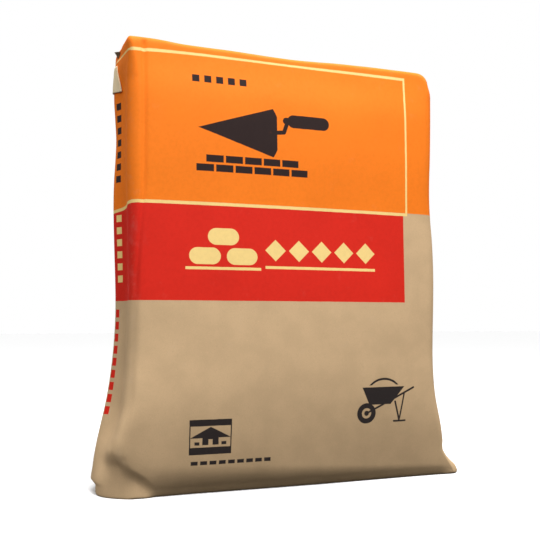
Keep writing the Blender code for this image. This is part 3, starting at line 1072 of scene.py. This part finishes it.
def printed_paper(form, colours):
    """Kraft paper with the printed fields and marks."""
    desk = PaintDesk(bpy.data.materials.new("printed_paper"))
    place = desk.place()
    orange, red, line, (black, pale, red_marks) = print_masks(desk, place, form)
    fold, mottle = desk.value_of("fold"), desk.mottle(place)
    colour = kraft_colour(desk, place, colours.kraft)
    shade = ink_shade(desk, place, mottle, *PRINT_INK)
    inks = (
        (orange, colours.orange),
        (red.most(red_marks), colours.red),
        (line.most(pale), colours.keyline),
    )
    for mask, ink in inks:
        colour = desk.mix(mask, colour, desk.dim(ink, shade))
    # The folds are rubbed: ink breaks off in specks and shows the paper under it.
    rubbed = (fold * FOLD_RUB + mottle * MOTTLE_RUB).ramp(*RUB_SPAN) * orange.most(red)
    colour = desk.mix(rubbed * RUBBED_SHARE, colour, toned(colours.kraft, RUBBED_TONE))
    dust = (desk.noise(place, DUST_SCALE, 5.0, 0.65) + fold * DUST_IN_FOLDS).ramp(DUST_START, DUST_END)
    colour = desk.mix(dust * DUST_SHARE, colour, DUST_COLOUR)
    colour = desk.mix(black * (MARK_COVER - dust * MARK_DUST), colour, colours.ink)
    roughness = PRINTED_ROUGHNESS + (mottle - 0.5) * ROUGHNESS_SPREAD
    roughness = roughness - together(orange, red, black) * INK_SMOOTHS
    return desk.finish_paper(place, colour, roughness)


def bare_paper(name, colour):
    """Unprinted paper in one colour, for patches, flaps and the sleeve."""
    desk = PaintDesk(bpy.data.materials.new(name))
    place = desk.place()
    painted = kraft_colour(desk, place, colour)
    dust = desk.noise(place, DUST_SCALE, 5.0, 0.65).ramp(DUST_START, DUST_END)
    painted = desk.mix(dust * BARE_DUST_SHARE, painted, DUST_COLOUR)
    roughness = BARE_ROUGHNESS + (desk.mottle(place) - 0.5) * ROUGHNESS_SPREAD
    return desk.finish_paper(place, painted, roughness)


def orange_patch_paper(colours):
    """The top cover patch: kraft paper printed orange in its middle, with a wide bare margin."""
    desk = PaintDesk(bpy.data.materials.new("orange_patch_paper"))
    place = desk.place()
    mottle = desk.mottle(place)
    orange = desk.dim(colours.orange, ink_shade(desk, place, mottle, *PATCH_INK))
    bare = (desk.value_of("edge") + (mottle - 0.5) * PATCH_FRAY).ramp(*PATCH_BARE)
    painted = desk.mix(bare, orange, kraft_colour(desk, place, colours.kraft))
    roughness = PATCH_ROUGHNESS + (mottle - 0.5) * ROUGHNESS_SPREAD
    return desk.finish_paper(place, painted, roughness)


# How strongly the sack's grid is crowded towards its folds, across, deep and high
CROWDING = (0.55, 0.45, 0.55)


class CEMENT_SACK_OT_paper_sack(Operator):
    """Model the filled paper tube with its two block ends"""

    bl_idname = "cement_sack.paper_sack"
    bl_label = "Paper sack"

    def execute(self, context):
        form = context.scene.sack_form
        cuts = (form.grid_across, form.grid_deep, form.grid_high)
        size = (form.face_width, form.depth, PAPER_HEIGHT)
        sack = add_piece("sack_skin", grid_block(size, cuts))
        block = points_of(sack.data) + np.array([form.face_width / 2, 0, PAPER_HEIGHT / 2])
        low_corner = (0, -form.depth / 2, 0)
        high_corner = (form.face_width, form.depth / 2, PAPER_HEIGHT)
        for axis, (low, high, amount) in enumerate(zip(low_corner, high_corner, CROWDING)):
            block[:, axis] = crowd_to_ends(block[:, axis], low, high, amount)
        places, fold = SackShape(form).place(block)
        lay_out_paper(sack.data, block, places, form)
        set_points(sack.data, places)
        set_point_values(sack.data, "fold", fold)
        sack.data.materials.append(printed_paper(form, context.scene.sack_print))
        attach(sack, "root")
        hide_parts("paper_sack")
        return {"FINISHED"}


PLY = 0.00045  # one paper layer as modelled


def paper_sheet(name, middle, size, cells, panel, form, level, cut_corners=0.0, ease=None):
    """A thin sheet of paper lying on one panel of the sack.

    middle and size are measured on the panel: across and depth on an end, across and height on the back,
    and depth and height on the left side. level is its height off the skin, or a function of the sheet's
    own coordinates from -1 to 1. ease moves its points on the panel before it is laid there.
    """
    builder = bmesh.new()
    bmesh.ops.create_grid(builder, x_segments=cells[0], y_segments=cells[1], size=0.5)
    if cut_corners:
        for side_x in (-1, 1):
            for side_y in (-1, 1):
                corner = Vector((side_x * (0.5 - cut_corners / size[0]), side_y * 0.5, 0))
                normal = Vector((side_x * size[0], side_y * size[1], 0))
                whole = [*builder.verts, *builder.edges, *builder.faces]
                bmesh.ops.bisect_plane(
                    builder, geom=whole, plane_co=corner, plane_no=normal, clear_outer=True
                )
    sheet = add_piece(name, builder)
    flat = points_of(sheet.data)
    edge = 2 * np.maximum(np.abs(flat[:, 0]), np.abs(flat[:, 1]))
    first = middle[0] + flat[:, 0] * size[0]
    second = middle[1] + flat[:, 1] * size[1]
    off = level(flat[:, 0] * 2, flat[:, 1] * 2) if callable(level) else np.full(len(flat), level)
    if ease:
        first, second = ease(first, second)
    half_depth = form.depth / 2
    block = {
        "top": lambda: (first, second, PAPER_HEIGHT + off),
        "bottom": lambda: (first, second, -off),
        "back": lambda: (first, half_depth + off, second),
        "left": lambda: (-off, first, second),
    }[panel]()
    places, fold = SackShape(form).place(np.stack(block, axis=1))
    set_points(sheet.data, places)
    set_point_values(sheet.data, "edge", edge)
    return sheet


def thicken(sheet, thickness, side=1):
    """Give a sheet its thickness, on the side that its faces point to, or with -1 on the other."""
    solid = sheet.modifiers.new("thickness", "SOLIDIFY")
    solid.thickness = thickness
    solid.offset = side


# The flaps of the ends
FLAP_INSET = 0.002  # a flap's fold lies this far inside the end's edge
FLAP_SHORTER = 0.006  # than the face is wide
FLAP_OVERLAP = 0.012  # it reaches this far past the middle
FLAP_SLANT = 0.92  # how much its ends draw in for each metre away from the fold
FLAP_START, FLAP_RISE = -0.0002, 0.012  # it comes out of the skin at its fold and rises over this width
FLAP_LEVELS = {"top": (1.1 * PLY, 2.2 * PLY), "bottom": (0.00005, 0.0001)}  # of the front and the back one
FLAP_PLY = {"top": PLY, "bottom": PLY / 3}  # the sack's weight presses the bottom flat
# The cover patches
PATCH_LEVEL = {"top": 3.3 * PLY, "bottom": 0.0002}
PATCH_SHARE = {"top": 0.96, "bottom": 0.90}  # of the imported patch's depth
PATCH_CUT = 0.012  # cut off its corners


class CEMENT_SACK_OT_block_ends(Operator):
    """Fold the flaps over both ends and paste the cover patches on them"""

    bl_idname = "cement_sack.block_ends"
    bl_label = "Block ends"

    def execute(self, context):
        form, colours = context.scene.sack_form, context.scene.sack_print
        kraft = bare_paper("kraft_flap_paper", colours.kraft)
        for panel in ("top", "bottom"):
            for side in (-1, 1):
                self.add_flap(form, panel, side, kraft)
        self.add_patch(form, "top", TOP_PATCH_LOW, TOP_PATCH_HIGH, orange_patch_paper(colours))
        self.add_patch(form, "bottom", BOTTOM_PATCH_LOW, BOTTOM_PATCH_HIGH, kraft)
        return {"FINISHED"}

    def add_flap(self, form, panel, side, material):
        """A long flap, folded in from the front (-1) or the back (1), with its ends cut on the slant."""
        fold_line = form.depth / 2 - FLAP_INSET
        length = form.face_width - FLAP_SHORTER
        width = fold_line + FLAP_OVERLAP
        middle = (form.face_width / 2, side * (fold_line - width / 2))
        level = FLAP_LEVELS[panel][1 if side > 0 else 0]

        def slanted(first, second):
            inset = np.clip(fold_line - side * second, 0, None) * FLAP_SLANT
            share = (first - middle[0]) / (length / 2)
            return middle[0] + share * (length / 2 - inset), second

        def rising(first, second):
            from_fold = (1 - side * second) / 2 * width
            return FLAP_START + (level - FLAP_START) * smooth_step(0, FLAP_RISE, from_fold)

        name = f"{panel}_{'back' if side > 0 else 'front'}_flap"
        size, cells = (length, width), (110, 18)
        flap = paper_sheet(name, middle, size, cells, panel, form, rising, ease=slanted)
        thicken(flap, FLAP_PLY[panel])
        flap.data.materials.append(material)
        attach(flap, "root")

    def add_patch(self, form, panel, low, high, material):
        """The pasted rectangle that covers the folded flaps."""
        middle = ((low.x + high.x) / 2 - FACE_LEFT, 0)
        size, cells = (high.x - low.x, (high.y - low.y) * PATCH_SHARE[panel]), (96, 24)
        name, level = f"{panel}_cover_patch", PATCH_LEVEL[panel]
        patch = paper_sheet(name, middle, size, cells, panel, form, level, cut_corners=PATCH_CUT)
        thicken(patch, PLY)
        patch.data.materials.append(material)
        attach(patch, "root")
        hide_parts(f"{panel}_end_patch")


SEAM_MIDDLE, SEAM_WIDTH = 0.292, 0.042  # across the back
SEAM_MARGIN = 0.009  # it ends this far from both ends
SEAM_SUNK = 0.0003  # its flush side lies this far under the skin
SEAM_RISE = (-1.0, -0.4)  # from its flush side, in halves of its width
SEAM_ENDS, SEAM_END_LEVEL = 0.05, 0.3  # it lies lower at its ends, over this share of half its length


class CEMENT_SACK_OT_back_seam(Operator):
    """Paste the overlap that closes the tube along the back panel"""

    bl_idname = "cement_sack.back_seam"
    bl_label = "Back seam"

    def execute(self, context):
        form = context.scene.sack_form

        def lapped(first, second):
            """Flush with the panel along one side, a ply high along the other."""
            ends = smooth_step(0, SEAM_ENDS, 1 - np.abs(second))
            rise = smooth_step(*SEAM_RISE, -first) * (SEAM_END_LEVEL + (1 - SEAM_END_LEVEL) * ends)
            return -SEAM_SUNK + (SEAM_SUNK + PLY) * rise

        middle, size = (SEAM_MIDDLE, PAPER_HEIGHT / 2), (SEAM_WIDTH, PAPER_HEIGHT - 2 * SEAM_MARGIN)
        seam = paper_sheet("back_seam", middle, size, (12, 170), "back", form, lapped)
        thicken(seam, PLY)
        # The overlap's margin is unprinted: it takes the plain material named printed_paper that came in
        # with model.glb.
        seam.data.materials.append(bpy.data.materials["printed_paper"])
        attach(seam, "root")
        return {"FINISHED"}


SLEEVE_MOUTH, SLEEVE_END = 0.5330, 0.4975  # heights at which it comes out and ends
SLEEVE_MOUTH_WIDTH, SLEEVE_WIDENING = 0.0150, 0.8
SLEEVE_DROP, SLEEVE_SLANT = 0.0010, 0.15  # its end is cut a little lower, and on the slant
SLEEVE_CURL = 0.0012  # its sides stand off at its end
# The folded corner over the mouth
TIP_WIDTH, TIP_HEIGHT = 0.015, 0.0046
TIP_BELOW_TOP = 0.0066  # its lower end
TIP_LEVEL, TIP_PROUD = 0.0004, 0.0046  # off the skin all round, and more at its upper middle
TIP_NARROW = 0.1  # the width of its lower end, as a share
TIP_SHADE_TONE = 0.25  # painted shade of the fold over the mouth, on the slightly browner inner ply, as a share of the kraft's colour


class CEMENT_SACK_OT_valve_sleeve(Operator):
    """Add the flattened paper sleeve that hangs from the filling mouth"""

    bl_idname = "cement_sack.valve_sleeve"
    bl_label = "Valve sleeve"

    def execute(self, context):
        form, colours = context.scene.sack_form, context.scene.sack_print
        tan = bare_paper("sleeve_paper", colours.sleeve)
        self.add_ply(form, tan, "valve_sleeve_inner", level=0.0003, free_width=0.0430, lift=0.0)
        outer = self.add_ply(form, tan, "valve_sleeve_outer", level=0.0009, free_width=0.0420, lift=0.0004)
        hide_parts("valve_sleeve")
        # The tip's paper is the kraft darkened to a quarter. This is painted shade of the fold over the
        # mouth, with a little of the inner ply's own brown.
        self.add_tip(form, bare_paper("inner_ply_shaded_paper", toned(colours.kraft, TIP_SHADE_TONE)))
        return {"FINISHED"}

    def add_ply(self, form, material, name, level, free_width, lift):
        """One layer of the flattened tube: narrow at the mouth and wider at its free end."""

        def tapered(first, second):
            share = (SLEEVE_MOUTH - SKIN_BOTTOM - second) / (SLEEVE_MOUTH - SLEEVE_END)
            width = SLEEVE_MOUTH_WIDTH + (free_width - SLEEVE_MOUTH_WIDTH) * share**SLEEVE_WIDENING
            return first * width / free_width, second + share * (SLEEVE_DROP + SLEEVE_SLANT * first)

        def curled(first, second):
            return level + (lift + SLEEVE_CURL * first**2) * (1 - second) / 2

        middle = (0.0, (SLEEVE_MOUTH + SLEEVE_END) / 2 - SKIN_BOTTOM)
        size, cells = (free_width, SLEEVE_MOUTH - SLEEVE_END), (26, 22)
        ply = paper_sheet(name, middle, size, cells, "left", form, curled, ease=tapered)
        thicken(ply, PLY, side=-1)
        ply.data.materials.append(material)
        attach(ply, "root")
        return ply

    def add_tip(self, form, material):
        """The tip of the folded corner that shows over the mouth."""
        low = PAPER_HEIGHT - TIP_BELOW_TOP

        def proud(first, second):
            return TIP_LEVEL + TIP_PROUD * (1 - np.abs(first)) * (1 + second) / 2

        def pointed(first, second):
            return first * (TIP_NARROW + (1 - TIP_NARROW) * (second - low) / TIP_HEIGHT), second

        middle, size = (0.0, low + TIP_HEIGHT / 2), (TIP_WIDTH, TIP_HEIGHT)
        tuck = paper_sheet("mouth_tuck", middle, size, (10, 4), "left", form, proud, ease=pointed)
        thicken(tuck, PLY, side=-1)
        tuck.data.materials.append(material)
        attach(tuck, "root")


FLOOR_HALF_WIDTH, FLOOR_CLOUD_SCALE = 14.0, 3.0
FLOOR_DARK, FLOOR_PALE = (0.92, 0.92, 0.92), (0.94, 0.94, 0.94)
SENSOR_WIDTH = 36.0
# The place, the aim and the size of the two soft lights
KEY_LIGHT = (0.30, -0.98, 2.15), (0, -0.05, 0.25), (1.2, 0.8)
FILL_LIGHT = (-1.9, -1.2, 1.2), (0, 0, 0.3), (1.4, 1.4)
OVERHEAD_PLACE, OVERHEAD_SPREAD = (0, 0, 2.5), math.radians(25)
SKY_SPAN = (-0.02, 0.85)  # rises of the sky between which its light grows from none to all


class CEMENT_SACK_OT_stage(Operator):
    """Set the pale floor, the soft lights and the level camera"""

    bl_idname = "cement_sack.stage"
    bl_label = "Stage"

    def execute(self, context):
        studio = context.scene.sack_studio
        self.add_floor()
        self.add_camera(context, studio)
        self.add_lights(context, studio)
        self.set_sky(context, studio)
        return {"FINISHED"}

    def add_floor(self):
        """A wide pale floor. It catches the shadow, but throws no light back up under the sack."""
        builder = bmesh.new()
        bmesh.ops.create_grid(builder, x_segments=1, y_segments=1, size=FLOOR_HALF_WIDTH)
        floor = add_piece("studio_floor", builder)
        desk = PaintDesk(bpy.data.materials.new("studio_floor"))
        shade = desk.mix(desk.noise(desk.place(), FLOOR_CLOUD_SCALE), FLOOR_DARK, FLOOR_PALE)
        sockets = {"Base Color": shade, "Roughness": 0.9, "Specular IOR Level": 0.1}
        floor.data.materials.append(desk.fill("Principled BSDF", sockets))
        floor.visible_diffuse = False

    def add_camera(self, context, studio):
        """The level camera, shifted up to the photograph's frame."""
        data = bpy.data.cameras.new("camera")
        data.lens = studio.lens
        data.sensor_width = SENSOR_WIDTH
        data.shift_y = studio.shift
        camera = bpy.data.objects.new("camera", data)
        camera.location = studio.camera
        camera.rotation_euler = (math.pi / 2, 0, -studio.turn)
        context.scene.collection.objects.link(camera)
        context.scene.camera = camera

    def add_light(self, context, kind, name, place, power):
        """One light, shining straight down."""
        data = bpy.data.lights.new(name, kind)
        data.energy = power
        light = bpy.data.objects.new(name, data)
        light.location = place
        context.scene.collection.objects.link(light)
        return light

    def add_area(self, context, name, place, aim, size, power):
        """A soft light turned towards a point."""
        light = self.add_light(context, "AREA", name, place, power)
        light.data.shape = "RECTANGLE"
        light.data.size, light.data.size_y = size
        light.rotation_euler = (Vector(aim) - Vector(place)).to_track_quat("-Z", "Y").to_euler()

    def add_lights(self, context, studio):
        """The main light, the side light, and an even one from above, which keeps the wide floor pale."""
        self.add_area(context, "key_light", *KEY_LIGHT, studio.key)
        overhead = self.add_light(context, "SUN", "overhead_light", OVERHEAD_PLACE, studio.overhead)
        overhead.data.angle = OVERHEAD_SPREAD
        self.add_area(context, "fill_light", *FILL_LIGHT, studio.fill)

    def set_sky(self, context, studio):
        """Soft light that grows from the horizon to overhead, with an even pale background."""
        world = bpy.data.worlds.new("studio_sky")
        desk = PaintDesk(world)
        rise = desk.part(desk.node("ShaderNodeTexCoord", output="Generated"), "Z")
        reach = {"From Min": SKY_SPAN[0], "From Max": SKY_SPAN[1], "To Min": 0.0, "To Max": studio.sky}
        light = desk.node("ShaderNodeMapRange", {}, {"Value": rise, **reach})
        seen = desk.node("ShaderNodeLightPath", output="Is Camera Ray")
        strength = desk.node("ShaderNodeMix", {}, {"Factor": seen, "A": light, "B": studio.backdrop})
        desk.fill("Background", {"Color": (1, 1, 1), "Strength": strength})
        context.scene.world = world
        context.scene.view_settings.view_transform = "Standard"


class CEMENT_SACK_PT_panel(Panel):
    """The sack's settings and steps in the sidebar"""

    bl_idname = "CEMENT_SACK_PT_panel"
    bl_label = "Cement sack"
    bl_space_type = "VIEW_3D"
    bl_region_type = "UI"
    bl_category = "Cement sack"

    def draw(self, context):
        for group in (context.scene.sack_form, context.scene.sack_print, context.scene.sack_studio):
            box = self.layout.box()
            for name in group.__annotations__:
                box.prop(group, name)
        for step in STEPS:
            self.layout.operator(step.bl_idname)


STEPS = (
    CEMENT_SACK_OT_paper_sack,
    CEMENT_SACK_OT_block_ends,
    CEMENT_SACK_OT_back_seam,
    CEMENT_SACK_OT_valve_sleeve,
    CEMENT_SACK_OT_stage,
)
CLASSES = (SackForm, SackPrint, Studio, *STEPS, CEMENT_SACK_PT_panel)


def register():
    """Make the settings, the steps and the panel known to Blender."""
    for part in CLASSES:
        bpy.utils.register_class(part)
    bpy.types.Scene.sack_form = PointerProperty(type=SackForm)
    bpy.types.Scene.sack_print = PointerProperty(type=SackPrint)
    bpy.types.Scene.sack_studio = PointerProperty(type=Studio)


def unregister():
    """Take them out again."""
    del bpy.types.Scene.sack_form
    del bpy.types.Scene.sack_print
    del bpy.types.Scene.sack_studio
    for part in reversed(CLASSES):
        bpy.utils.unregister_class(part)


def main():
    """Build the sack and its stage."""
    register()
    for step in STEPS:
        group, name = step.bl_idname.split(".")
        getattr(getattr(bpy.ops, group), name)()
    bpy.context.view_layer.update()


if __name__ == "__main__":
    main()
